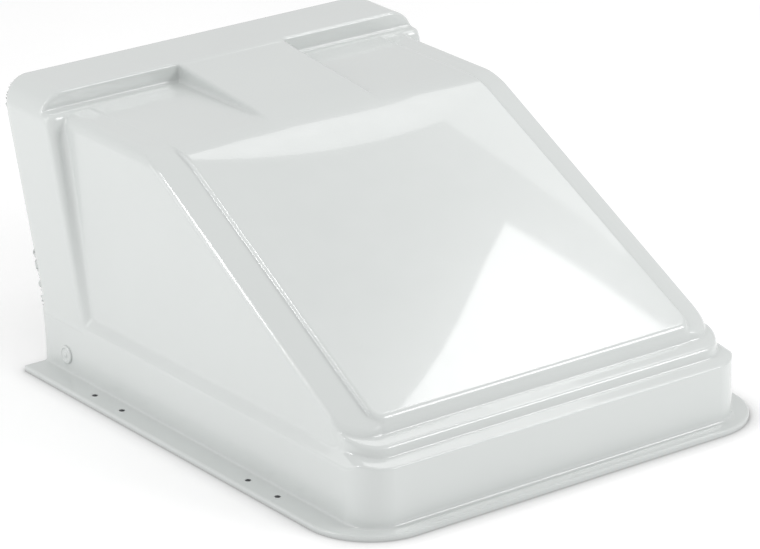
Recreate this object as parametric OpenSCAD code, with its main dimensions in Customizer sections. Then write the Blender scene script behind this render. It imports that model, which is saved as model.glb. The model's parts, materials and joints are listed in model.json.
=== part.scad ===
// Roof vent cover: a moulded wedge with a louvred rear opening, a swing-down insect screen,
// two pull-pin hinges on one side and snap studs on the other.
// Millimetres, +Z up, low end towards -Y. The origin is under the middle of the bounding box.

/* [Overall] */
// Width over the side flanges
base_w = 600; // [590:2:610]
// Length of the base on the roof
base_l = 628; // [624:2:632]
// Height from the roof to the top of the rear hoop
total_h = 328; // [326:1:330]
// How far the leaning rear hoop reaches past the base
overhang = 80; // [78:1:82]

/* [Shell] */
// Thickness of the moulded wall
wall = 3; // [2.5:0.1:3.2]
// Width of the side flanges
side_flange = 30.6; // [30:0.1:31]
// Width of the front flange
front_flange = 20.4; // [20:0.1:21]
// Height of the top of the flange
flange_top = 6; // [5.8:0.1:6.2]
// Radius of the front corners of the flange
flange_r = 80; // [75:1:85]
// Radius of the front corners of the skirt
skirt_r = 40; // [38:1:42]
// Height of the top of the skirt
skirt_top = 73; // [72:0.5:74]
// Height of the floors of the two top recesses
recess_z = 306; // [305:0.5:306]
// Half the width of the raised strip between the recesses
strip_half = 75; // [70:1:80]
// Angle that the slats and the screen lean back
lean = 12; // [11.5:0.5:12.5]

/* [Hardware] */
// Distance between the two holes of a pair in the flange
pair_pitch = 54; // [52:1:56]
// Radius of the holes in the flange
flange_hole_r = 3.5; // [3.3:0.1:3.7]
// Radius of a hinge pin
pin_r = 2; // [1.9:0.05:2.1]
// Gap between a hinge pin and its barrels
pin_gap = 0.05; // [0.03:0.01:0.08]
// Thickness of the steel hinge and latch plates
plate_t = 1.5; // [1.4:0.1:1.6]
// Radius of the roof screw holes
roof_hole_r = 2.5; // [2.3:0.1:2.7]

/* [Screen and louvre] */
// Number of louvre slats
slats = 8; // [6:1:9]
// Half the width of the insect screen
screen_half = 236; // [230:1:237]
// Radius of the two screen pivots
pivot_r = 2.5; // [2.4:0.1:2.6]

/* [Hidden] */
$fn = 48;

// The cover is drawn about its own middle plane and the middle of its base, then shifted
barrel_r = 3.9;
axis_x = base_w / 2 + barrel_r + 0.6;
axis_z = 4;
frame_x = -(axis_x + barrel_r - base_w / 2) / 2;
frame_y = -overhang / 2;

front = -base_l / 2;
rear = base_l / 2;
wall_x = base_w / 2 - side_flange;
wall_front = front + front_flange;
flange_under = flange_top - 2.5;
lip_w = 3;

// Side panels, hoop and slope
panel_low_x = wall_x - 7.4;
panel_high_x = wall_x - 19.4;
panel_high_z = 290;
shoulder_r = 25;
hoop_r = 35;
brow = [119, recess_z - 0.3];
hoop_front = rear + 4;
hoop_rear = rear + overhang;
step_tread = [13.5, 4.5];
step_riser = [2, 14];
plateau_riser = [2, 23.5];
skirt_edge = [wall_front + 2.3, skirt_top];
tread_1 = skirt_edge + step_tread;
riser_1 = tread_1 + step_riser;
tread_2 = riser_1 + step_tread;
slope_foot = tread_2 + plateau_riser;
slope_run = brow - slope_foot;
slope_angle = atan(slope_run[1] / slope_run[0]);
plateau_x = 222;
plateau_drop = 4;
band_drop = 15;

// Flange holes and hinges
hole_x = base_w / 2 - side_flange / 2 + 0.3;
front_pair_y = -128.5;
rear_pair_y = 166;
pairs_y = [front_pair_y, rear_pair_y];
plate_half = 38;
plate_in_x = 235;
roof_hole_x = 245;
knuckle_half = 13.5;
knuckle_gap = 0.5;

// The rear plane: x across, y up the lean, z inwards; its origin is at the back of the lip
pivot_at = [272.7, 26];
pivot_s = 10;
screen_t = 8;
lip_t = 3;
screen_gap = 0.4;
pivot_d = lip_t + screen_gap + screen_t / 2;
rear_at = pivot_at - pivot_s * [sin(lean), cos(lean)] - pivot_d * [-cos(lean), sin(lean)];
lip_half = wall_x - 1.4;
lip_top_s = (total_h - 1.4 - rear_at[1]) / cos(lean);
lip_low_s = -8;
window_half = 222;
window_s = [30, 262];

// Louvre grille
grille_half = 253;
grille_s = [2, 298];
grille_depth = 24;
rivet_x = 245;
side_rivets_s = [50, 150, 250];
top_rivets_x = [-200, 0, 200];
top_rivet_s = 289;

// Insect screen
rail_w = 14;
sill_h = 24;
screen_s = [6, 280];
groove = 3.5;
clip_x = 150;
clip_half = 16;
clip_rivet_s = 302;

function arc(c, r, a0, a1, n) =
    [for (i = [0:n]) c + r * [cos(a0 + (a1 - a0) * i / n), sin(a0 + (a1 - a0) * i / n)]];
function panel_x(z) =
    panel_low_x + (panel_high_x - panel_low_x) * (z - skirt_top) / (panel_high_z - skirt_top);

module place() {
    translate([frame_x, frame_y, 0]) children();
}

// An outline of (y, z) points, drawn out across the width
module across(points, half) {
    translate([-half, 0, 0]) rotate([90, 0, 90]) linear_extrude(2 * half) polygon(points);
}

// An outline of (x, z) points, drawn out along the length
module along(y0, y1) {
    translate([0, y1, 0]) rotate([90, 0, 0]) linear_extrude(y1 - y0) children();
}

module on_rear_plane() {
    translate([0, rear_at[0], rear_at[1]]) rotate([90 - lean, 0, 0]) children();
}

// A plan with round front corners and a straight rear edge
module plan(half, y0, y1, r) {
    translate([-half, y0 + r]) square([2 * half, y1 - y0 - r]);
    translate([-half + r, y0]) square([2 * (half - r), r + 1]);
    for (side = [-1, 1]) translate([side * (half - r), y0 + r]) circle(r, $fn = 96);
}

// A frame outline with round top corners
module arch(half, s0, s1, r) {
    translate([-half, s0]) square([2 * half, s1 - s0 - r]);
    translate([-half + r, s0]) square([2 * (half - r), s1 - s0]);
    for (side = [-1, 1]) translate([side * (half - r), s1 - r]) circle(r);
}

// ---- Shell: every form takes an inset, 0 for the outside and the wall for the cavity ----

module skirt_form(inset, low) {
    translate([0, 0, low]) linear_extrude(skirt_top - inset - low)
        plan(wall_x - inset, wall_front + inset, rear, skirt_r - inset);
}

function wedge_outline(inset) = inset == 0
    ? [[skirt_edge[0], skirt_top - 20], skirt_edge, tread_1, riser_1, tread_2, slope_foot, brow,
        [hoop_front + 1, total_h], [hoop_front + 1, skirt_top - 20]]
    : [[skirt_edge[0] + inset + 13, skirt_top - 20], [skirt_edge[0] + inset + 13, skirt_top],
        [tread_2[0] + inset, tread_2[1] - inset / 2], slope_foot + inset * [1, -0.7],
        brow + inset * [0.3, -1.15], [hoop_front + 1, total_h - inset * 1.1],
        [hoop_front + 1, skirt_top - 20]];

module wedge_section(inset) {
    r = shoulder_r - inset;
    x = panel_x(recess_z) - inset;
    top = total_h + 10;
    polygon([[-panel_x(0) + inset, 0], [panel_x(0) - inset, 0],
        each arc([x - r, recess_z - inset - r], r, 0, 90, 8), [strip_half - inset, recess_z - inset],
        [strip_half - inset, top], [-strip_half + inset, top], [-strip_half + inset, recess_z - inset],
        each arc([-x + r, recess_z - inset - r], r, 90, 180, 8)]);
}

module slope_band(inset) {
    half = wall_x;
    drop = inset / cos(slope_angle) * 0.9;
    translate([0, slope_foot[0], slope_foot[1] - drop]) rotate([slope_angle - 90, 0, 0])
        translate([0, 0, -300]) linear_extrude(1100) mirror([0, 1])
        polygon([[-half, -600], [-half, -band_drop], [-plateau_x, -plateau_drop], [-plateau_x + 1, 60],
            [plateau_x - 1, 60], [plateau_x, -plateau_drop], [half, -band_drop], [half, -600]]);
}

module wedge_form(inset) {
    intersection() {
        across(wedge_outline(inset), wall_x);
        along(front, hoop_front + 1) wedge_section(inset);
        slope_band(inset);
        translate([0, 0, 1]) linear_extrude(total_h)
            plan(wall_x - inset, skirt_edge[0] + inset, hoop_front + 2, skirt_r - inset);
    }
}

module hoop_section(inset) {
    arch(wall_x - inset, 0, total_h - inset, hoop_r - inset);
}

function hoop_outline(inset) =
    [[222, flange_under], [222, skirt_top - inset], [240 + inset, 101], [295 + inset, 283],
        [hoop_front + inset, recess_z], [hoop_front + inset, total_h + 1], [hoop_rear - 12, total_h + 1],
        [hoop_rear - 12, total_h], [hoop_rear - 3, total_h - 3], [hoop_rear, total_h - 11],
        [hoop_rear - 4.4, 299], [rear + 17, 111], [rear + 7, 65], [rear + 2, 40], [rear, flange_under]];

module hoop_form() {
    intersection() {
        across(hoop_outline(0), wall_x);
        along(front, hoop_rear + 1) hoop_section(0);
    }
}

// The cavity of the hoop runs out through its open rear end
module hoop_cavity() {
    open_rear = hoop_rear + 20;
    intersection() {
        across([[225, -1], [225, skirt_top - wall], [240 + wall, 101], [295 + wall, 283],
            [hoop_front + wall, recess_z], [hoop_front + wall, total_h], [open_rear, total_h],
            [open_rear, -1]], wall_x);
        along(front, open_rear) hoop_section(wall);
    }
}

module flange() {
    difference() {
        linear_extrude(flange_top) plan(base_w / 2, front, rear, flange_r);
        translate([0, 0, -1]) linear_extrude(flange_under + 1)
            plan(base_w / 2 - lip_w, front + lip_w, rear - lip_w, flange_r - lip_w);
    }
}

module rear_lip() {
    on_rear_plane() linear_extrude(lip_t) difference() {
        arch(lip_half, lip_low_s, lip_top_s, hoop_r - 1.5);
        translate([-window_half, window_s[0]]) square([2 * window_half, window_s[1] - window_s[0]]);
    }
}

module grille_holes(r, h) {
    for (side = [-1, 1], s = side_rivets_s) translate([side * rivet_x, s, 0])
        cylinder(h = h, r = r, center = true);
    for (x = top_rivets_x) translate([x, top_rivet_s, 0]) cylinder(h = h, r = r, center = true);
}

module clip_holes(r, h) {
    for (side = [-1, 1], k = [-1, 1]) translate([side * clip_x + k * clip_half / 2, clip_rivet_s, 0])
        cylinder(h = h, r = r, center = true);
}

module flange_holes() {
    for (side = [-1, 1], y = pairs_y, k = [-1, 1])
        translate([side * hole_x, y + k * pair_pitch / 2, -1]) cylinder(h = flange_top + 2, r = flange_hole_r);
}

// Room in the right-hand lip for the hinge bases that pass under it
module hinge_notches() {
    for (y = pairs_y) translate([wall_x - wall, y - plate_half - 2, -1])
        cube([side_flange + wall + 1, 2 * plate_half + 4, plate_t + 1.8]);
}

module cover_shell() {
    color("white") place() difference() {
        union() {
            difference() {
                union() {
                    skirt_form(0, flange_under);
                    wedge_form(0);
                    hoop_form();
                    flange();
                }
                skirt_form(wall, -1);
                wedge_form(wall);
                hoop_cavity();
                translate([0, rear - 1, -1]) linear_extrude(flange_under + 3)
                    translate([-wall_x + wall, 0]) square([2 * (wall_x - wall), 3]);
            }
            rear_lip();
        }
        flange_holes();
        hinge_notches();
        on_rear_plane() grille_holes(2.1, 20);
        on_rear_plane() clip_holes(2.1, 20);
        translate([0, pivot_at[0], pivot_at[1]]) rotate([0, 90, 0])
            cylinder(h = 2 * wall_x + 20, r = pivot_r + 0.1, center = true);
    }
}

// ---- Louvre grille ----

module rear_grille() {
    s0 = window_s[0] + 2;
    s1 = window_s[1] - 2;
    half = window_half - 2;
    pitch = (s1 - s0) / slats;
    color("gainsboro") place() on_rear_plane() difference() {
        union() {
            translate([0, 0, -wall]) linear_extrude(wall) difference() {
                arch(grille_half, grille_s[0], grille_s[1], 20);
                translate([-half + 3, s0 + 3]) square([2 * half - 6, s1 - s0 - 6]);
            }
            translate([0, 0, -grille_depth]) linear_extrude(grille_depth) {
                difference() {
                    translate([-half, s0]) square([2 * half, s1 - s0]);
                    translate([-half + 3, s0 + 3]) square([2 * half - 6, s1 - s0 - 6]);
                }
                for (side = [-1, 1]) translate([side * half / 3 - 1.5, s0]) square([3, s1 - s0]);
            }
            for (i = [0:slats - 1]) across([[s0 + i * pitch + 2, 1 - grille_depth],
                [s0 + i * pitch + 5, 1 - grille_depth], [s0 + i * pitch + 24, -1],
                [s0 + i * pitch + 21, -1]], half - 1);
        }
        grille_holes(2.1, 20);
    }
}

module rivet(grip, r, head_r) {
    head = 1.4;
    cylinder(h = grip + 0.2, r = r, center = true);
    for (end = [-1, 1]) translate([0, 0, end * (grip + head) / 2])
        cylinder(h = head, r = head_r, center = true);
}

module grille_rivets() {
    color("silver") place() on_rear_plane() {
        for (side = [-1, 1], s = side_rivets_s) translate([side * rivet_x, s, 0])
            rivet(wall + lip_t, 2, 4);
        for (x = top_rivets_x) translate([x, top_rivet_s, 0]) rivet(wall + lip_t, 2, 4);
    }
}

// ---- Hinges ----

module barrel(y0, y1) {
    translate([axis_x, y1, axis_z]) rotate([90, 0, 0]) cylinder(h = y1 - y0, r = barrel_r);
}

module pin_bore(y) {
    translate([axis_x, y, axis_z]) rotate([90, 0, 0])
        cylinder(h = 2 * plate_half + 2, r = pin_r + pin_gap, center = true);
}

module hinge_leaf(y) {
    edge_x = base_w / 2 - 0.5;
    color("silver") place() difference() {
        union() {
            translate([wall_x + 4, y - plate_half, flange_top])
                cube([edge_x - wall_x - 4, 2 * plate_half, plate_t]);
            translate([edge_x - 1, y - knuckle_half, flange_top])
                cube([axis_x - edge_x + 1, 2 * knuckle_half, plate_t]);
            barrel(y - knuckle_half, y + knuckle_half);
        }
        for (k = [-1, 1]) translate([hole_x, y + k * pair_pitch / 2, flange_top - 1])
            cylinder(h = plate_t + 2, r = 2.6);
        pin_bore(y);
    }
}

module hinge_leaf_front() { hinge_leaf(front_pair_y); }
module hinge_leaf_rear() { hinge_leaf(rear_pair_y); }

module leaf_screws() {
    tip = 0.5;
    seat = flange_top + plate_t;
    color("silver") place() for (y = pairs_y, k = [-1, 1])
        translate([hole_x, y + k * pair_pitch / 2, 0]) difference() {
            union() {
                translate([0, 0, tip]) cylinder(h = seat - tip + 0.1, r = 2.4);
                translate([0, 0, seat]) cylinder(h = 2.6, r1 = 4.7, r2 = 3.6);
            }
            translate([-0.6, -2.6, seat + 1.4]) cube([1.2, 5.2, 2]);
            translate([-2.6, -0.6, seat + 1.4]) cube([5.2, 1.2, 2]);
        }
}

module leaf_nuts() {
    nut_h = 2.7;
    color("silver") place() for (y = pairs_y, k = [-1, 1])
        translate([hole_x, y + k * pair_pitch / 2, flange_under - nut_h]) difference() {
            cylinder(h = nut_h, r = 4.6, $fn = 6);
            translate([0, 0, -1]) cylinder(h = nut_h + 2, r = 2.45);
        }
}

module hinge_base(y) {
    window_r = 9;
    knuckle = knuckle_half + knuckle_gap;
    color("silver") place() difference() {
        union() {
            translate([plate_in_x, y - plate_half, 0])
                cube([axis_x - plate_in_x, 2 * plate_half, plate_t]);
            barrel(y - plate_half, y - knuckle);
            barrel(y + knuckle, y + plate_half);
        }
        translate([base_w / 2 - 0.6, y - knuckle, -1]) cube([20, 2 * knuckle, 20]);
        for (k = [-1, 1]) {
            translate([roof_hole_x, y + k * pair_pitch / 2, -1]) cylinder(h = plate_t + 2, r = roof_hole_r);
            translate([hole_x, y + k * pair_pitch / 2, -1]) cylinder(h = plate_t + 2, r = window_r);
        }
        pin_bore(y);
    }
}

module hinge_base_front() { hinge_base(front_pair_y); }
module hinge_base_rear() { hinge_base(rear_pair_y); }

module hinge_pin(y) {
    color("gray") place() translate([axis_x, y + plate_half, axis_z]) rotate([90, 0, 0])
        cylinder(h = 2 * plate_half + 20, r = pin_r);
}

module hinge_pin_front() { hinge_pin(front_pair_y); }
module hinge_pin_rear() { hinge_pin(rear_pair_y); }

module pin_grip(y) {
    grip_l = 22;
    grip_r = 3.7;
    color("firebrick") place() translate([axis_x, y - plate_half - 1, axis_z]) rotate([90, 0, 0])
        difference() {
            rotate_extrude() polygon([[0, 0], [grip_r - 0.6, 0], [grip_r, 0.6], [grip_r, grip_l - 1.5],
                [grip_r - 1.5, grip_l], [0, grip_l]]);
            translate([0, 0, -1]) cylinder(h = 20.2, r = pin_r + 0.01);
            for (i = [1:4]) translate([0, 0, 4 * i]) rotate_extrude()
                translate([grip_r + 0.4, 0]) circle(0.9, $fn = 24);
        }
}

module pin_grip_front() { pin_grip(front_pair_y); }
module pin_grip_rear() { pin_grip(rear_pair_y); }

// ---- Snap side ----

module latch_plate(y) {
    color("silver") place() difference() {
        translate([-base_w / 2 + 8, y - plate_half, 0])
            cube([base_w / 2 - 8 - plate_in_x, 2 * plate_half, plate_t]);
        for (k = [-1, 1]) {
            translate([-roof_hole_x, y + k * pair_pitch / 2, -1]) cylinder(h = plate_t + 2, r = roof_hole_r);
            translate([-hole_x, y + k * pair_pitch / 2, -1]) cylinder(h = plate_t + 2, r = 2.1);
        }
    }
}

module latch_plate_front() { latch_plate(front_pair_y); }
module latch_plate_rear() { latch_plate(rear_pair_y); }

// Each stud has a foot on its plate and a waisted post that stands in a flange hole
module snap_studs() {
    post_r = 3;
    top = flange_top + 0.4;
    color("dimgray") place() for (y = pairs_y, k = [-1, 1])
        translate([-hole_x, y + k * pair_pitch / 2, 0]) difference() {
            rotate_extrude() polygon([[0, 0.1], [2, 0.1], [2, plate_t], [6.5, plate_t], [6.5, plate_t + 1.2],
                [post_r - 0.5, plate_t + 1.4], [post_r - 0.5, top - 2.2], [post_r, top - 1.4],
                [post_r - 0.8, top], [0, top]]);
            translate([-0.4, -5, top - 2.4]) cube([0.8, 10, 3]);
        }
}

// ---- Insect screen ----

// A rivet-like pivot: a wide round head outside the wall and a pin that carries the screen
module screen_pivot(side) {
    head_t = 2.4;
    pin_end = screen_half - rail_w + 1;
    color("white") place() translate([side * wall_x, pivot_at[0], pivot_at[1]])
        rotate([0, side * 90, 0]) {
            rotate_extrude() polygon([[0, 0], [11, 0], [11, head_t - 1], [10, head_t], [8, head_t],
                [7.4, head_t - 0.8], [3, head_t - 0.8], [2.4, head_t], [0, head_t]]);
            translate([0, 0, pin_end - wall_x]) cylinder(h = wall_x - pin_end + 0.1, r = pivot_r);
        }
}

module screen_pivot_left() { screen_pivot(-1); }
module screen_pivot_right() { screen_pivot(1); }

module pivot_spacers() {
    long = wall_x - wall - screen_half - screen_gap;
    color("ivory") place() for (side = [-1, 1])
        translate([side * (screen_half + screen_gap), pivot_at[0], pivot_at[1]])
            rotate([0, side * 90, 0]) difference() {
                cylinder(h = long, r = 4);
                translate([0, 0, -1]) cylinder(h = long + 2, r = pivot_r + 0.05);
            }
}

module screen_clip(side) {
    finger = 14;
    foot_s = screen_s[1] + 1;
    t = 0.8;
    color("silver") place() on_rear_plane() difference() {
        translate([side * clip_x, 0, 0]) across([[foot_s, lip_t], [foot_s + 30, lip_t],
            [foot_s + 30, lip_t + t], [foot_s + t, lip_t + t], [foot_s + t, finger],
            [foot_s, finger]], clip_half);
        clip_holes(2.1, 20);
    }
}

module screen_clip_left() { screen_clip(-1); }
module screen_clip_right() { screen_clip(1); }

module clip_rivets() {
    clip_t = 0.8;
    color("silver") place() on_rear_plane() for (side = [-1, 1], k = [-1, 1])
        translate([side * clip_x + k * clip_half / 2, clip_rivet_s, (lip_t + clip_t) / 2])
            rivet(lip_t + clip_t, 2, 3.4);
}

// The groove for the spline runs round all four sides of the screen
module groove_ring(width, low, high) {
    mid_x = screen_half - rail_w / 2;
    s0 = screen_s[0] + sill_h - 5;
    s1 = screen_s[1] - rail_w / 2;
    translate([0, 0, low]) linear_extrude(high - low) difference() {
        translate([-mid_x - width / 2, s0 - width / 2])
            square([2 * mid_x + width, s1 - s0 + width]);
        translate([-mid_x + width / 2, s0 + width / 2])
            square([2 * mid_x - width, s1 - s0 - width]);
    }
}

// The foot of the screen is round about its pivots, so that it turns clear of the lip
module foot_waste() {
    difference() {
        translate([-screen_half - 1, screen_s[0] - 1, lip_t]) cube([2 * screen_half + 2,
            pivot_s - screen_s[0] + 1, screen_t + 2]);
        translate([0, pivot_s, pivot_d]) rotate([0, 90, 0])
            cylinder(h = 2 * screen_half + 4, r = screen_t / 2, center = true);
    }
}

module screen_rails() {
    low = lip_t + screen_gap;
    high = low + screen_t;
    inner = screen_half - rail_w;
    s_low = screen_s[0] + sill_h;
    s_high = screen_s[1] - rail_w;
    color("lightgray") place() on_rear_plane() difference() {
        translate([0, 0, low]) linear_extrude(screen_t) {
            for (side = [-1, 1]) translate([side * (inner + rail_w / 2) - rail_w / 2, s_low])
                square([rail_w, s_high - s_low]);
            translate([-inner, screen_s[0]]) square([2 * inner, sill_h]);
            translate([-inner, s_high]) square([2 * inner, rail_w]);
        }
        foot_waste();
        groove_ring(groove, high - groove, high + 1);
    }
}

module screen_corners() {
    low = lip_t + screen_gap;
    high = low + screen_t;
    inner = screen_half - rail_w;
    s_high = screen_s[1] - rail_w;
    color("dimgray") place() on_rear_plane() difference() {
        for (side = [-1, 1]) {
            translate([side * (inner + rail_w / 2) - rail_w / 2, screen_s[0], low])
                cube([rail_w, sill_h, screen_t]);
            translate([side * (inner + rail_w / 2) - rail_w / 2, s_high, low])
                cube([rail_w, rail_w, screen_t]);
        }
        foot_waste();
        groove_ring(groove, high - groove, high + 1);
        translate([0, pivot_s, pivot_d]) rotate([0, 90, 0])
            cylinder(h = 2 * screen_half + 20, r = pivot_r + 0.05, center = true);
    }
}

module screen_mesh() {
    edge = rail_w / 2 + groove / 2 + 0.1;
    high = lip_t + screen_gap + screen_t;
    color("slategray") place() on_rear_plane()
        translate([-screen_half + edge, screen_s[0] + sill_h - 5 + groove / 2 + 0.1, high])
        cube([2 * (screen_half - edge), screen_s[1] - screen_s[0] - sill_h + 5 - edge - groove / 2 - 0.1, 0.5]);
}

module screen_spline() {
    high = lip_t + screen_gap + screen_t;
    color("black") place() on_rear_plane() groove_ring(groove - 0.3, high - groove + 0.2, high + 0.2);
}

cover_shell();
rear_grille();
grille_rivets();
hinge_leaf_front();
hinge_leaf_rear();
leaf_screws();
leaf_nuts();
screen_pivot_left();
screen_pivot_right();
pivot_spacers();
screen_clip_left();
screen_clip_right();
clip_rivets();
screen_rails();
screen_corners();
screen_mesh();
screen_spline();
hinge_base_front();
hinge_base_rear();
latch_plate_front();
latch_plate_rear();
snap_studs();
hinge_pin_front();
hinge_pin_rear();
pin_grip_front();
pin_grip_rear();
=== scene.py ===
"""Looks of the roof vent cover: a smooth moulded shell, detailed hardware and a soft studio."""
import json
import math

import bmesh
import bpy
import numpy as np
from mathutils import Matrix, Vector
from mathutils.geometry import tessellate_polygon


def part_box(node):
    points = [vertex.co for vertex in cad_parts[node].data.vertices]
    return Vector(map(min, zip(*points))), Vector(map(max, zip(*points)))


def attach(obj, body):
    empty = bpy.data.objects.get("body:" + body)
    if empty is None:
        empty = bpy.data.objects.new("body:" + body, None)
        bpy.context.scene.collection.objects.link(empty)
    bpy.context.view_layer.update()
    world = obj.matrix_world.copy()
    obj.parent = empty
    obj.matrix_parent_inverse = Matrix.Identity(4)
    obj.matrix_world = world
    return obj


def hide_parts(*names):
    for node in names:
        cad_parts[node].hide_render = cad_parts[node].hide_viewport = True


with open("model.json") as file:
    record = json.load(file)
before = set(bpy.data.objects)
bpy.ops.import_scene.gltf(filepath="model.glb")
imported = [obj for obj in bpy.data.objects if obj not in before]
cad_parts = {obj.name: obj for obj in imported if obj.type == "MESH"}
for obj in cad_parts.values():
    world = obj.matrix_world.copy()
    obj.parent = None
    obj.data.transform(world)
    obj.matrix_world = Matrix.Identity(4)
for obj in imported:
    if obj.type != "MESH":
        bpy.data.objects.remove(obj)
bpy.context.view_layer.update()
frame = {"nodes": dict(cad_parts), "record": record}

MM = 0.001

# The cover is worked out in millimetres about its own middle plane and the middle of its base
BASE_W = 600.0
BASE_L = 628.0
TOTAL_H = 328.0
SHELL_LOW, SHELL_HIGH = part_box("cover_shell")
SHIFT = Vector(((SHELL_LOW.x + SHELL_HIGH.x) / 2, SHELL_LOW.y + BASE_L / 2 * MM, 0))
FRONT = -BASE_L / 2
REAR = BASE_L / 2
SKIN = 2.5

# Flange and skirt; the ledge is the skirt's sloping top edge along the sides
FLANGE_TOP = 6.0
FLANGE_R = 80
FLANGE_EDGE_R = 1.6
FLANGE_FOOT_R = 2.5
WALL_X = 269.4
WALL_FRONT = FRONT + 20.4
WALL_DRAFT = 0.034
WALL_R = 40
SKIRT_EDGE_R = 1.6
SKIRT_MITRE_R = 6
SKIRT_FOOT_R = 1.5
LEDGE_Z = 69
LEDGE_TILT = (0.87, 0.49)

# Steps across the front, each given by (y, z) of a point on it: treads and risers alternate
TREAD_DEG = 15
RISER_DEG = 75
TREAD_2 = (-291, 73)
RISER_2 = (-274.8, 77.3)
TREAD_1 = (-271.6, 89.2)
RISER_1 = (-252.9, 94.2)
STEP_R = 38
STEP_EDGE_R = 2.5
STEP_FOOT_R = 1.5
STEP_INSET = 4
INSET_FROM = -240
INSET_OVER = 30

# Side panels, slope, raised plateau, brow and top
PANEL_X = 262
PANEL_FOOT_Z = 73
PANEL_DRAFT = 0.0553
BODY_R = 34
BODY_EDGE_R = 5
BODY_TOP_R = 16
SLOPE_FOOT = (-248.1, 112.1)
SLOPE_DEG = 27.9
BROW_Y = 119
PLATEAU_RISE = 3.6
PLATEAU_X = 224
PLATEAU_FOOT_Z = 112
PLATEAU_DRAFT = 0.066
PLATEAU_R = 14
PLATEAU_EDGE_R = 2.6
PLATEAU_FOOT_R = 2.0
BAND_X = 222
BAND_TILT = 0.28
BAND_R = 6
DISH_HALF = 218
DISH_DEPTH = 1.0
BROW_R = (6, 18)                        # at the plateau's edges, and how much more in the middle
FLOOR_Z = 306.0
RECESS_BACK = 318.0
RECESS_R = 3
RECESS_EDGE_R = 4
STRIP_HALF = 75.0
STRIP_DROP = 1.5
STRIP_DEG = 5.8

# Rear hoop: its front face, its foot inside the skirt, and how its rear edge leans back
HOOP_AT = (240, 101)
HOOP_TILT = (0.957, 0.289)
HOOP_FOOT_Z = 62
HOOP_R = 35
HOOP_FRONT_R = 10
HOOP_REAR_R = 13
HOOP_FOOT_R = 3
REAR_ROLL = 6
LEAN_SLOPE = 0.313
LEAN_START = 56.8
LEAN_SOFT = 20.0

# Flange holes, hinge pairs and the leaning rear plane
HOLE_X = 285.0
HOLE_R = 3.5
PAIR_PITCH = 54.0
PAIRS_Y = (-128.5, 166.0)
NOTCH_X = (292, 310)
NOTCH_Z = (-5, 2.3)
NOTCH_HALF = 40
REAR_LEAN = 12.0
REAR_AT = (277.86, 14.68)
LIP_HALF = 267.6
LIP_S = (-8.0, 318.5)
LIP_T = 3
LIP_R = 33
WINDOW = [(-222, 30), (-222, 262), (222, 262), (222, 30)]

# Insect screen: half width, low and high up the lean, depth inwards
THREADS = (227.0, 26.6, 270.6, 11.6)
THREAD_PITCH = 1.6
THREAD_R = 0.2

MOULDED_WHITE = (0.66, 0.685, 0.675)


def to_frame(points):
    """Points about the cover's own middle, in millimetres, to frame metres."""
    return np.asarray(points) * MM + np.array(SHIFT)


# ---- Smooth solid of the outside of the shell ----

def both(a, b, r):
    """Intersection of two distance fields, with a convex edge of radius r."""
    return np.minimum(np.maximum(a, b), -r) + np.hypot(np.maximum(a + r, 0), np.maximum(b + r, 0))


def either(a, b, r):
    """Union of two distance fields, with a concave edge of radius r."""
    return -both(-a, -b, r)


def pitched(y, z, at, degrees):
    """Distance above a plane that rises towards +Y at this pitch through (y, z) = at."""
    t = math.radians(degrees)
    return (z - at[1]) * math.cos(t) - (y - at[0]) * math.sin(t)


def lean(z):
    """How far the rear edge has leaned back at a height."""
    return LEAN_SLOPE * LEAN_SOFT * np.logaddexp(0, (z - LEAN_START) / LEAN_SOFT)


def panel(x, z):
    """Distance outside the side panel."""
    return x - (PANEL_X - PANEL_DRAFT * (z - PANEL_FOOT_Z))


def skirt(x, y, z):
    tread = pitched(y, z, TREAD_2, TREAD_DEG)
    ledge = (x - WALL_X) * LEDGE_TILT[0] + (z - LEDGE_Z) * LEDGE_TILT[1]
    wall = both(x - WALL_X, WALL_FRONT + WALL_DRAFT * z - y, WALL_R)
    return both(wall, both(tread, ledge, SKIRT_MITRE_R), SKIRT_EDGE_R)


def step(x, y, z):
    """Middle step, set in from the side panels away from the front so that the two don't coincide."""
    riser = pitched(y, z, RISER_2, RISER_DEG)
    tread = pitched(y, z, TREAD_1, TREAD_DEG)
    inset = STEP_INSET * np.clip((y - INSET_FROM) / INSET_OVER, 0, 1)
    return both(both(panel(x, z) + inset, riser, STEP_R), tread, STEP_EDGE_R)


def wedge(x, y, z):
    """Sloping body with the slightly dished plateau on it, up to the brow and the top."""
    across = np.minimum(x / DISH_HALF, 1.0)
    riser = pitched(y, z, RISER_1, RISER_DEG)
    along = np.clip((y - SLOPE_FOOT[0]) / (BROW_Y - SLOPE_FOOT[0]), 0, 1)
    dish = DISH_DEPTH * (1 - across ** 2) * np.maximum(np.sin(math.pi * along ** 0.8), 0) ** 1.5
    slope = pitched(y, z, SLOPE_FOOT, SLOPE_DEG) + dish
    base = slope + PLATEAU_RISE
    band = (base + BAND_TILT * (x - BAND_X)) / math.hypot(1, BAND_TILT)
    body = both(both(panel(x, z), riser, BODY_R), both(base, band, BAND_R), BODY_EDGE_R)
    body = both(body, z - FLOOR_Z, BODY_TOP_R)
    strip = pitched(y, z, (RECESS_BACK, TOTAL_H - STRIP_DROP), STRIP_DEG)
    top = np.maximum(strip, y - RECESS_BACK - 6)
    brow_r = BROW_R[0] + BROW_R[1] * (1 - across ** 2)
    edge = x - (PLATEAU_X - PLATEAU_DRAFT * (z - PLATEAU_FOOT_Z))
    plateau = both(both(riser, edge, PLATEAU_R), both(slope, top, brow_r), PLATEAU_EDGE_R)
    return either(body, plateau, PLATEAU_FOOT_R)


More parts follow.
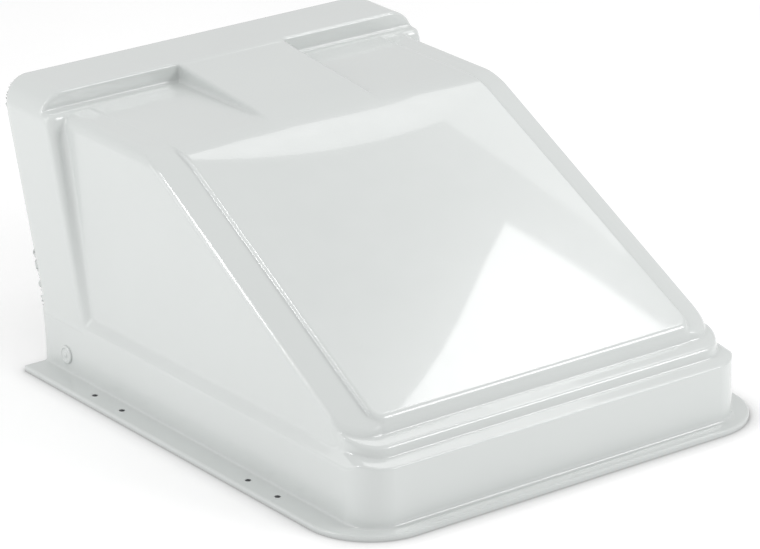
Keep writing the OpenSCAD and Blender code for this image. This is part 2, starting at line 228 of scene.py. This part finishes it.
def hoop(x, y, z):
    face = (HOOP_AT[0] - y) * HOOP_TILT[0] + (z - HOOP_AT[1]) * HOOP_TILT[1]
    arch = both(x - WALL_X, z - TOTAL_H, HOOP_R)
    roll = (y - lean(z)) - (REAR + REAR_ROLL)
    body = both(both(arch, face, HOOP_FRONT_R), roll, HOOP_REAR_R)
    return both(body, HOOP_FOOT_Z - z, HOOP_FOOT_R)


def outside(x, y, z):
    """Signed distance, negative inside, of the closed outer form, for x at or above 0."""
    groove = 1 + 7 * np.clip((FLOOR_Z - z) / 30, 0, 1)
    form = either(wedge(x, y, z), step(x, y, z), STEP_FOOT_R)
    form = either(form, hoop(x, y, z), groove)
    form = either(form, skirt(x, y, z), SKIRT_FOOT_R)
    flange = both(both(x - BASE_W / 2, FRONT - y, FLANGE_R), z - FLANGE_TOP, FLANGE_EDGE_R)
    form = either(form, flange, FLANGE_FOOT_R)
    recess = both(both(y - RECESS_BACK, STRIP_HALF - x, RECESS_R), FLOOR_Z - z, RECESS_R)
    return both(form, -recess, RECESS_EDGE_R)


# ---- Surface net of the form, in leaned coordinates so the rear edge is a grid plane ----

def field(points):
    """The outer form at points in leaned coordinates, on either side of the middle plane."""
    x = np.abs(points[:, 0])
    y = points[:, 1] + lean(points[:, 2])
    return outside(x, y, points[:, 2])


def graded(start, end, fine, step, small):
    """Grid nodes with a smaller step inside the fine range."""
    nodes = [start]
    while nodes[-1] < end:
        inside = fine[0] <= nodes[-1] < fine[1]
        nodes.append(nodes[-1] + (small if inside else step))
    return np.array(nodes, np.float32)


def grid_axes():
    """Nodes half a cell past each open edge: x = 0, the rear edge and the foot."""
    xs = graded(-2.0, BASE_W / 2 + 6, (205, 305), 4.0, 1.3)
    ys = -graded(-REAR - 1.5, -FRONT + 6, (238, 318), 3.0, 1.6)[::-1]
    zs = graded(-1.4, TOTAL_H + 6, (60, 118), 2.8, 1.6)
    return xs, ys, zs


def sample(xs, ys, zs):
    """The outer form at every grid node, one slice across the width at a time."""
    values = np.empty((len(xs), len(ys), len(zs)), np.float32)
    y, z = np.meshgrid(ys, zs, indexing="ij")
    y_true = (y + lean(z)).astype(np.float32)
    for i, x in enumerate(xs):
        values[i] = outside(np.full_like(y_true, abs(x)), y_true, z)
    return values


def edge_ends(grid, axis):
    """Values at the low and the high end of every grid edge along an axis."""
    low = [slice(None)] * 3
    high = [slice(None)] * 3
    low[axis] = slice(0, -1)
    high[axis] = slice(1, None)
    return grid[tuple(low)], grid[tuple(high)]


def crossing_means(values, xs, ys, zs):
    """Mean of the edge crossings in each cell that the surface passes through."""
    inside = values < 0
    shape = tuple(n - 1 for n in values.shape)
    total = np.zeros(shape + (3,), np.float32)
    count = np.zeros(shape, np.float32)
    axes = (xs, ys, zs)
    for axis in range(3):
        a, b = edge_ends(values, axis)
        inside_a, inside_b = edge_ends(inside, axis)
        hit = np.argwhere(inside_a != inside_b)
        va, vb = a[tuple(hit.T)], b[tuple(hit.T)]
        t = va / (va - vb)
        point = np.stack([axes[k][hit[:, k]] for k in range(3)], 1)
        point[:, axis] += t * np.diff(axes[axis])[hit[:, axis]]
        others = [k for k in range(3) if k != axis]
        for da in (0, 1):
            for db in (0, 1):
                cell = hit.copy()
                cell[:, others[0]] -= da
                cell[:, others[1]] -= db
                ok = ((cell >= 0) & (cell < np.array(shape))).all(1)
                np.add.at(total, tuple(cell[ok].T), point[ok])
                np.add.at(count, tuple(cell[ok].T), 1)
    return total, count


def net_quads(values, index):
    """One quad for each grid edge that crosses the surface, from the four cells round it."""
    inside = values < 0
    quads = []
    for axis in range(3):
        a, b = edge_ends(inside, axis)
        u, v = (axis + 1) % 3, (axis + 2) % 3
        for sign in (True, False):
            hit = np.argwhere((a != b) & (a == sign))
            corner = []
            for du, dv in ((1, 1), (0, 1), (0, 0), (1, 0)):
                cell = hit.copy()
                cell[:, u] -= du
                cell[:, v] -= dv
                corner.append(cell)
            ok = np.ones(len(hit), bool)
            for cell in corner:
                ok &= ((cell >= 0) & (cell < np.array(index.shape))).all(1)
            ids = np.stack([index[tuple(cell[ok].T)] for cell in corner], 1)
            ids = ids[(ids >= 0).all(1)]
            quads.append(ids if sign else ids[:, ::-1])
    return np.concatenate(quads)


def settle(points, fixed, rounds=6):
    """Moves points onto the surface, each along the axes that aren't fixed."""
    step = 0.05
    for _ in range(rounds):
        value = field(points)
        gradient = np.zeros_like(points)
        for k in range(3):
            shift = np.zeros(3)
            shift[k] = step
            gradient[:, k] = (field(points + shift) - field(points - shift)) / (2 * step)
        gradient[fixed] = 0
        size = (gradient ** 2).sum(1)
        move = -(value / np.maximum(size, 0.05))[:, None] * gradient
        length = np.linalg.norm(move, axis=1, keepdims=True)
        points = points + move * np.minimum(1, 1.5 / np.maximum(length, 1e-9))
    return points


def shell_surface():
    """Vertices in frame metres and quads of the whole outside, open at the rear and the foot."""
    xs, ys, zs = grid_axes()
    values = sample(xs, ys, zs)
    total, count = crossing_means(values, xs, ys, zs)
    cells = np.argwhere(count > 0)
    index = np.full(count.shape, -1)
    index[tuple(cells.T)] = np.arange(len(cells))
    points = (total[tuple(cells.T)] / count[tuple(cells.T)][:, None]).astype(float)
    fixed = np.zeros(points.shape, bool)
    middle = cells[:, 0] == 0
    back = cells[:, 1] == count.shape[1] - 1
    foot = cells[:, 2] == 0
    points[middle, 0] = 0
    points[back, 1] = REAR
    points[foot, 2] = 0
    fixed[middle, 0] = True
    fixed[back, 1] = True
    fixed[foot, 2] = True
    points = settle(points, fixed)
    quads = net_quads(values, index)
    points[:, 1] += lean(points[:, 2])
    mirrored = points * np.array([-1, 1, 1])
    partner = np.arange(len(points)) + len(points)
    partner[middle] = np.arange(len(points))[middle]
    left = partner[quads][:, ::-1]
    everything = np.concatenate([points, mirrored])
    faces = np.concatenate([quads, left])
    used = np.unique(faces)
    renumber = np.full(len(everything), -1)
    renumber[used] = np.arange(len(used))
    return to_frame(everything[used]), renumber[faces]


# ---- Shell ----

def linked(name, data):
    """An object in the scene, from its mesh, light or camera data."""
    obj = bpy.data.objects.new(name, data)
    bpy.context.scene.collection.objects.link(obj)
    return obj


def new_object(name, vertices, faces):
    mesh = bpy.data.meshes.new(name)
    mesh.from_pydata([tuple(v) for v in vertices], [], [tuple(int(i) for i in f) for f in faces])
    mesh.update()
    return linked(name, mesh)


def poured(name, data):
    """An object from a bmesh, which is freed."""
    mesh = bpy.data.meshes.new(name)
    data.to_mesh(mesh)
    data.free()
    return linked(name, mesh)


def bake(obj):
    """Applies an object's modifiers."""
    depsgraph = bpy.context.evaluated_depsgraph_get()
    mesh = bpy.data.meshes.new_from_object(obj.evaluated_get(depsgraph))
    obj.modifiers.clear()
    obj.data = mesh


def smooth(obj, degrees):
    """Smooth shading, with edges sharper than this left hard."""
    obj.data.shade_smooth()
    obj.data.set_sharp_from_angle(angle=math.radians(degrees))
    return obj


def joined(name, objects):
    """One object from several meshes."""
    data = bmesh.new()
    for obj in objects:
        data.from_mesh(obj.data)
    for obj in objects:
        bpy.data.objects.remove(obj)
    return poured(name, data)


def rear_point(x, s, d):
    """Frame position of a point on the leaning rear plane: across, up the lean, inwards."""
    t = math.radians(REAR_LEAN)
    y = REAR_AT[0] + s * math.sin(t) - d * math.cos(t)
    z = REAR_AT[1] + s * math.cos(t) + d * math.sin(t)
    return Vector(to_frame((x, y, z)))


def arched(half, low, high, radius, steps=10):
    """Outline with two rounded top corners."""
    line = [(-half, low), (half, low)]
    for side, start in ((1, 0), (-1, 90)):
        for i in range(steps + 1):
            a = math.radians(start + 90 * i / steps)
            line.append((side * (half - radius) + radius * math.cos(a),
                         high - radius + radius * math.sin(a)))
    return line


def rear_plate(name, outline, hole, depth):
    """A plate on the rear plane with a rectangular window in it."""
    loops = [[Vector((*point, 0)) for point in loop] for loop in (outline, hole)]
    flat = [point for loop in loops for point in loop]
    faces = tessellate_polygon(loops)
    data = bmesh.new()
    verts = [data.verts.new(rear_point(point.x, point.y, depth[0])) for point in flat]
    for face in faces:
        data.faces.new([verts[i] for i in face])
    bmesh.ops.dissolve_limit(data, angle_limit=0.01, verts=data.verts, edges=data.edges)
    grown = bmesh.ops.extrude_face_region(data, geom=list(data.faces))
    push = rear_point(0, 0, depth[1]) - rear_point(0, 0, depth[0])
    moved = [item for item in grown["geom"] if isinstance(item, bmesh.types.BMVert)]
    bmesh.ops.translate(data, vec=push, verts=moved)
    bmesh.ops.recalc_face_normals(data, faces=data.faces)
    obj = poured(name, data)
    edge = obj.modifiers.new("edge", "BEVEL")
    edge.width = 0.8 * MM
    edge.segments = 2
    edge.limit_method = "ANGLE"
    bake(obj)
    return smooth(obj, 40)


def cutter_mesh():
    """Flange holes and, in the right-hand lip, room for the hinge plates."""
    data = bmesh.new()
    for pair in PAIRS_Y:
        for side in (-1, 1):
            for k in (-1, 1):
                at = Vector(to_frame((side * HOLE_X, pair + k * PAIR_PITCH / 2, FLANGE_TOP - 2)))
                bmesh.ops.create_cone(data, cap_ends=True, segments=28, radius1=HOLE_R * MM,
                                      radius2=HOLE_R * MM, depth=20 * MM, matrix=Matrix.Translation(at))
        low = Vector(to_frame((NOTCH_X[0], pair - NOTCH_HALF, NOTCH_Z[0])))
        high = Vector(to_frame((NOTCH_X[1], pair + NOTCH_HALF, NOTCH_Z[1])))
        scale = Matrix.Diagonal((*(high - low), 1))
        bmesh.ops.create_cube(data, size=1, matrix=Matrix.Translation((low + high) / 2) @ scale)
    return poured("cutter", data)


def make_shell():
    vertices, faces = shell_surface()
    shell = new_object("moulded_shell", vertices, faces)
    thick = shell.modifiers.new("skin", "SOLIDIFY")
    thick.thickness = SKIN * MM
    thick.offset = -1
    bake(shell)
    # The skin's rim may not reach below the roof
    places = np.empty(3 * len(shell.data.vertices))
    shell.data.vertices.foreach_get("co", places)
    places[2::3] = np.maximum(places[2::3], 0)
    shell.data.vertices.foreach_set("co", places)
    cutter = cutter_mesh()
    cut = shell.modifiers.new("holes", "BOOLEAN")
    cut.operation = "DIFFERENCE"
    cut.solver = "MANIFOLD"
    cut.object = cutter
    bake(shell)
    bpy.data.objects.remove(cutter)
    smooth(shell, 50)
    lip = rear_plate("rear_lip", arched(LIP_HALF, LIP_S[0], LIP_S[1], LIP_R), WINDOW, (0, LIP_T))
    return joined("moulded_cover", [shell, lip])


# ---- Insect screen ----

def add_thread(data, start, end, out):
    """One four-sided thread from start to end; `out` is square to the screen."""
    along = (end - start).normalized()
    aside = along.cross(out).normalized()
    rings = []
    for point in (start, end):
        ring = []
        for i in range(4):
            a = math.pi / 4 + math.pi / 2 * i
            offset = aside * math.cos(a) + out * math.sin(a)
            ring.append(data.verts.new(point + offset * THREAD_R * MM))
        rings.append(ring)
    first, last = rings
    for i in range(4):
        j = (i + 1) % 4
        data.faces.new([first[i], first[j], last[j], last[i]])
    data.faces.new(first[::-1])
    data.faces.new(last)


def make_mesh_cloth():
    """Woven insect screen: two layers of threads that touch where they cross."""
    half, low, high, depth = THREADS
    data = bmesh.new()
    out = (rear_point(0, 0, 1) - rear_point(0, 0, 0)).normalized()
    for i in range(int(2 * half / THREAD_PITCH) + 1):
        x = -half + i * THREAD_PITCH
        add_thread(data, rear_point(x, low, depth), rear_point(x, high, depth), out)
    for i in range(int((high - low) / THREAD_PITCH) + 1):
        s = low + i * THREAD_PITCH
        left = rear_point(-half, s, depth + THREAD_R)
        right = rear_point(half, s, depth + THREAD_R)
        add_thread(data, left, right, out)
    dress(poured("woven_screen", data), "screen_mesh", "screen", ["screen_mesh"])


# ---- Materials ----

def material(name, color, roughness, metallic=0.0, coat=0.0, coat_roughness=0.05, ior=1.5):
    """A new material and its principled shader."""
    mat = bpy.data.materials.new(name)
    mat.use_nodes = True
    shader = mat.node_tree.nodes["Principled BSDF"]
    shader.inputs["Base Color"].default_value = (*color, 1)
    shader.inputs["Roughness"].default_value = roughness
    shader.inputs["Metallic"].default_value = metallic
    shader.inputs["Coat Weight"].default_value = coat
    shader.inputs["Coat Roughness"].default_value = coat_roughness
    shader.inputs["IOR"].default_value = ior
    return mat, shader


def add(mat, kind, **values):
    """A node of this kind; each value goes to the input of that name, or else to the property."""
    node = mat.node_tree.nodes.new(kind)
    for key, value in values.items():
        if key in node.inputs:
            node.inputs[key].default_value = value
        else:
            setattr(node, key, value)
    return node


def link(mat, a, out, b, into):
    mat.node_tree.links.new(a.outputs[out], b.inputs[into])


def noise(mat, scale, detail, roughness=0.5, stretch=(1, 1, 1)):
    place = add(mat, "ShaderNodeTexCoord")
    mapping = add(mat, "ShaderNodeMapping")
    mapping.inputs["Scale"].default_value = stretch
    tex = add(mat, "ShaderNodeTexNoise", Scale=scale, Detail=detail, Roughness=roughness)
    link(mat, place, "Object", mapping, "Vector")
    link(mat, mapping, "Vector", tex, "Vector")
    return tex


def ramp(mat, source, low, high):
    """Colours from low to high over the middle of a noise's range."""
    node = add(mat, "ShaderNodeValToRGB")
    for element, position, color in zip(node.color_ramp.elements, (0.3, 0.7), (low, high)):
        element.position = position
        element.color = (*color, 1)
    link(mat, source, "Fac", node, "Fac")
    return node


def grey(value):
    return (value, value, value)


def gloss_white(name, color):
    """Smooth thermoformed plastic: faint cloudiness, very slight waviness, a hard gloss."""
    mat, shader = material(name, color, 0.2, coat=0.7, coat_roughness=0.03, ior=1.49)
    cloud = noise(mat, 9, 3)
    dark = tuple(c * 0.985 for c in color)
    tint = ramp(mat, cloud, dark, color)
    link(mat, tint, "Color", shader, "Base Color")
    rough = ramp(mat, noise(mat, 40, 5), grey(0.17), grey(0.24))
    link(mat, rough, "Color", shader, "Roughness")
    wave = noise(mat, 16, 1)
    fine = noise(mat, 900, 2)
    total = add(mat, "ShaderNodeMath", operation="MULTIPLY_ADD")
    total.inputs[1].default_value = 0.02
    link(mat, fine, "Fac", total, 0)
    link(mat, wave, "Fac", total, 2)
    bump = add(mat, "ShaderNodeBump", Strength=0.25, Distance=0.0006)
    link(mat, total, "Value", bump, "Height")
    link(mat, bump, "Normal", shader, "Normal")
    return mat


def satin_plastic(name, color, roughness, grain=700):
    """Matt moulded plastic with a fine grain."""
    mat, shader = material(name, color, roughness)
    tint = ramp(mat, noise(mat, 25, 4), tuple(c * 0.93 for c in color), color)
    link(mat, tint, "Color", shader, "Base Color")
    rough = ramp(mat, noise(mat, 120, 4), grey(roughness - 0.06), grey(roughness + 0.08))
    link(mat, rough, "Color", shader, "Roughness")
    bump = add(mat, "ShaderNodeBump", Strength=0.35, Distance=0.0002)
    link(mat, noise(mat, grain, 3), "Fac", bump, "Height")
    link(mat, bump, "Normal", shader, "Normal")
    return mat


def brushed_metal(name, color, roughness, stretch):
    """Metal with a fine grain; the axes with the smallest stretch are the ones its lines follow."""
    mat, shader = material(name, color, roughness, metallic=1.0)
    lines = noise(mat, 60, 6, 0.6, stretch)
    tint = ramp(mat, lines, tuple(c * 0.86 for c in color), color)
    link(mat, tint, "Color", shader, "Base Color")
    rough = ramp(mat, lines, grey(roughness - 0.08), grey(roughness + 0.1))
    link(mat, rough, "Color", shader, "Roughness")
    bump = add(mat, "ShaderNodeBump", Strength=0.2, Distance=0.0001)
    link(mat, lines, "Fac", bump, "Height")
    link(mat, bump, "Normal", shader, "Normal")
    return mat


def slot_color(slot):
    found = [m for m in frame["record"]["materials"] if m["slot"] == slot]
    return tuple(found[0]["base_color"][:3])


def make_materials():
    """One material for each slot of the record."""
    return {
        "shell_white": gloss_white("moulded_white", MOULDED_WHITE),
        "pivot_white": gloss_white("pivot_white", MOULDED_WHITE),
        "grille_white": satin_plastic("grille_white", slot_color("grille_white"), 0.42),
        "nylon_natural": satin_plastic("nylon_natural", slot_color("nylon_natural"), 0.45),
        "nylon_black": satin_plastic("nylon_black", slot_color("nylon_black"), 0.5),
        "spline_vinyl": satin_plastic("spline_vinyl", slot_color("spline_vinyl"), 0.6),
        "screen_mesh": satin_plastic("screen_mesh", slot_color("screen_mesh"), 0.55, 2000),
        "grip_vinyl": satin_plastic("grip_vinyl", slot_color("grip_vinyl"), 0.35),
        "stainless": brushed_metal("stainless", slot_color("stainless"), 0.3, (1, 30, 1)),
        "spring_steel": brushed_metal("spring_steel", slot_color("spring_steel"), 0.25, (30, 1, 1)),
        "pin_steel": brushed_metal("pin_steel", slot_color("pin_steel"), 0.2, (30, 1, 30)),
        "rivet_aluminium":
            brushed_metal("rivet_aluminium", slot_color("rivet_aluminium"), 0.35, (4, 4, 4)),
        "frame_aluminium":
            brushed_metal("frame_aluminium", slot_color("frame_aluminium"), 0.34, (2, 40, 40)),
    }


# ---- Pieces ----

def dress(obj, slot, body, replaced):
    """Gives a piece the material of its slot, puts it in its body and hides the CAD nodes it stands for.
    """
    obj.data.materials.clear()
    obj.data.materials.append(MATERIALS[slot])
    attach(obj, body)
    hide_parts(*replaced)


def body_of(node):
    bodies = frame["record"]["behaviour"]["bodies"]
    return next(body for body, members in bodies.items() if node in members)


def slot_of(node):
    return next(s["material_slot"] for s in frame["record"]["subparts"] if s["node"] == node)


def softened(node, width):
    """A CAD node's shape with its edges rounded, as its own piece."""
    mesh = frame["nodes"][node].data.copy()
    obj = linked(node + "_finished", mesh)
    data = bmesh.new()
    data.from_mesh(mesh)
    bmesh.ops.remove_doubles(data, verts=data.verts, dist=1e-6)
    bmesh.ops.dissolve_limit(data, angle_limit=math.radians(0.5), verts=data.verts, edges=data.edges)
    data.to_mesh(mesh)
    data.free()
    bevel = obj.modifiers.new("edge", "BEVEL")
    bevel.width = width * MM
    bevel.segments = 2
    bevel.limit_method = "ANGLE"
    bevel.angle_limit = math.radians(30)
    bevel.use_clamp_overlap = True
    bake(obj)
    smooth(obj, 40)
    dress(obj, slot_of(node), body_of(node), [node])


# ---- Studio ----

CAMERA_AZIMUTH = -37.89
CAMERA_ELEVATION = 21.47
CAMERA_ROLL = -0.34
CAMERA_TARGET = (48.8, 92.9, 106)
CAMERA_DISTANCE = 5.0775
CAMERA_LENS = 208.45
FLOOR_HALF = 6
FLOOR_WHITE = 0.95


def area_light(name, at, aim_z, size, power, roll=0):
    """A rectangular light at a place in metres, aimed at a height on the frame's own Z axis."""
    data = bpy.data.lights.new(name, "AREA")
    data.shape = "RECTANGLE"
    data.size, data.size_y = size
    data.energy = power
    obj = linked(name, data)
    obj.location = at
    turn = (Vector((0, 0, aim_z)) - Vector(at)).to_track_quat("-Z", "Y").to_matrix()
    obj.rotation_euler = (turn @ Matrix.Rotation(math.radians(roll), 3, "Z")).to_euler()


def make_camera():
    azimuth = math.radians(CAMERA_AZIMUTH)
    elevation = math.radians(CAMERA_ELEVATION)
    target = Vector(to_frame(CAMERA_TARGET))
    away = Vector((math.sin(azimuth) * math.cos(elevation), -math.cos(azimuth) * math.cos(elevation),
                   math.sin(elevation)))
    data = bpy.data.cameras.new("camera")
    data.sensor_width = 36
    data.lens = CAMERA_LENS
    data.shift_x = -0.0024
    data.clip_end = 50
    camera = linked("camera", data)
    camera.location = target + away * CAMERA_DISTANCE
    turn = (-away).to_track_quat("-Z", "Y").to_matrix()
    camera.rotation_euler = (turn @ Matrix.Rotation(-math.radians(CAMERA_ROLL), 3, "Z")).to_euler()
    bpy.context.scene.camera = camera


def make_floor():
    """White floor, with painted contact shadow: its colour is darkened close to whatever stands on it."""
    corners = [(-1, -1), (1, -1), (1, 1), (-1, 1)]
    floor = new_object("floor", [(x * FLOOR_HALF, y * FLOOR_HALF, 0) for x, y in corners], [(0, 1, 2, 3)])
    mat, shader = material("floor_pale", grey(FLOOR_WHITE), 0.75)
    tint = ramp(mat, noise(mat, 3, 3), grey(FLOOR_WHITE - 0.01), grey(FLOOR_WHITE + 0.01))
    # Painted shadow: two ambient occlusion passes darken the floor colour near the cover, one close and
    # one wider
    painted_contact_shadow = add(mat, "ShaderNodeAmbientOcclusion", samples=8, Distance=0.02)
    painted_spread_shadow = add(mat, "ShaderNodeAmbientOcclusion", samples=8, Distance=0.06)
    link(mat, tint, "Color", painted_contact_shadow, "Color")
    link(mat, painted_contact_shadow, "Color", painted_spread_shadow, "Color")
    link(mat, painted_spread_shadow, "Color", shader, "Base Color")
    shader.inputs["Emission Color"].default_value = (1, 1, 1, 1)
    shader.inputs["Emission Strength"].default_value = 0.15
    floor.data.materials.append(mat)


def make_lights():
    """An even white room, soft lights for the two walls and edges, and two that show in the slope."""
    world = bpy.data.worlds.new("studio")
    bpy.context.scene.world = world
    world.use_nodes = True
    background = world.node_tree.nodes["Background"]
    background.inputs["Color"].default_value = (1, 1, 1, 1)
    background.inputs["Strength"].default_value = 0.7
    area_light("left", (-2.4, 1.1, 0.9), 0.12, (1.6, 1.2), 7)
    area_light("right_front", (1.7, -1.9, 1.7), 0.12, (1.3, 0.8), 22)
    area_light("upper_left", (-1.5, 0.35, 1.7), 0.2, (0.2, 1.2), 8)
    area_light("slope_key", (1.39, -0.15, 2.0), 0.2, (0.4, 0.4), 2.6, 45)
    area_light("slope_soft", (1.40, 0.58, 1.89), 0.2, (1.1, 0.4), 2.0, 12)
    bpy.context.scene.view_settings.view_transform = "Standard"


# Edge rounding of each small piece, in millimetres
EDGES = {
    "rear_grille": 0.6, "grille_rivets": 0.3, "hinge_leaf_front": 0.25, "hinge_leaf_rear": 0.25,
    "leaf_screws": 0.2, "leaf_nuts": 0.3, "screen_pivot_left": 0.3, "screen_pivot_right": 0.3,
    "pivot_spacers": 0.3, "screen_clip_left": 0.2, "screen_clip_right": 0.2, "clip_rivets": 0.25,
    "screen_rails": 0.4, "screen_corners": 0.5, "screen_spline": 0.5, "hinge_base_front": 0.25,
    "hinge_base_rear": 0.25, "latch_plate_front": 0.25, "latch_plate_rear": 0.25, "snap_studs": 0.2,
    "hinge_pin_front": 0.3, "hinge_pin_rear": 0.3, "pin_grip_front": 0.3, "pin_grip_rear": 0.3,
}

MATERIALS = make_materials()
make_camera()
make_floor()
make_lights()
dress(make_shell(), "shell_white", "cover", ["cover_shell"])
make_mesh_cloth()
for node_name, edge_width in EDGES.items():
    softened(node_name, edge_width)
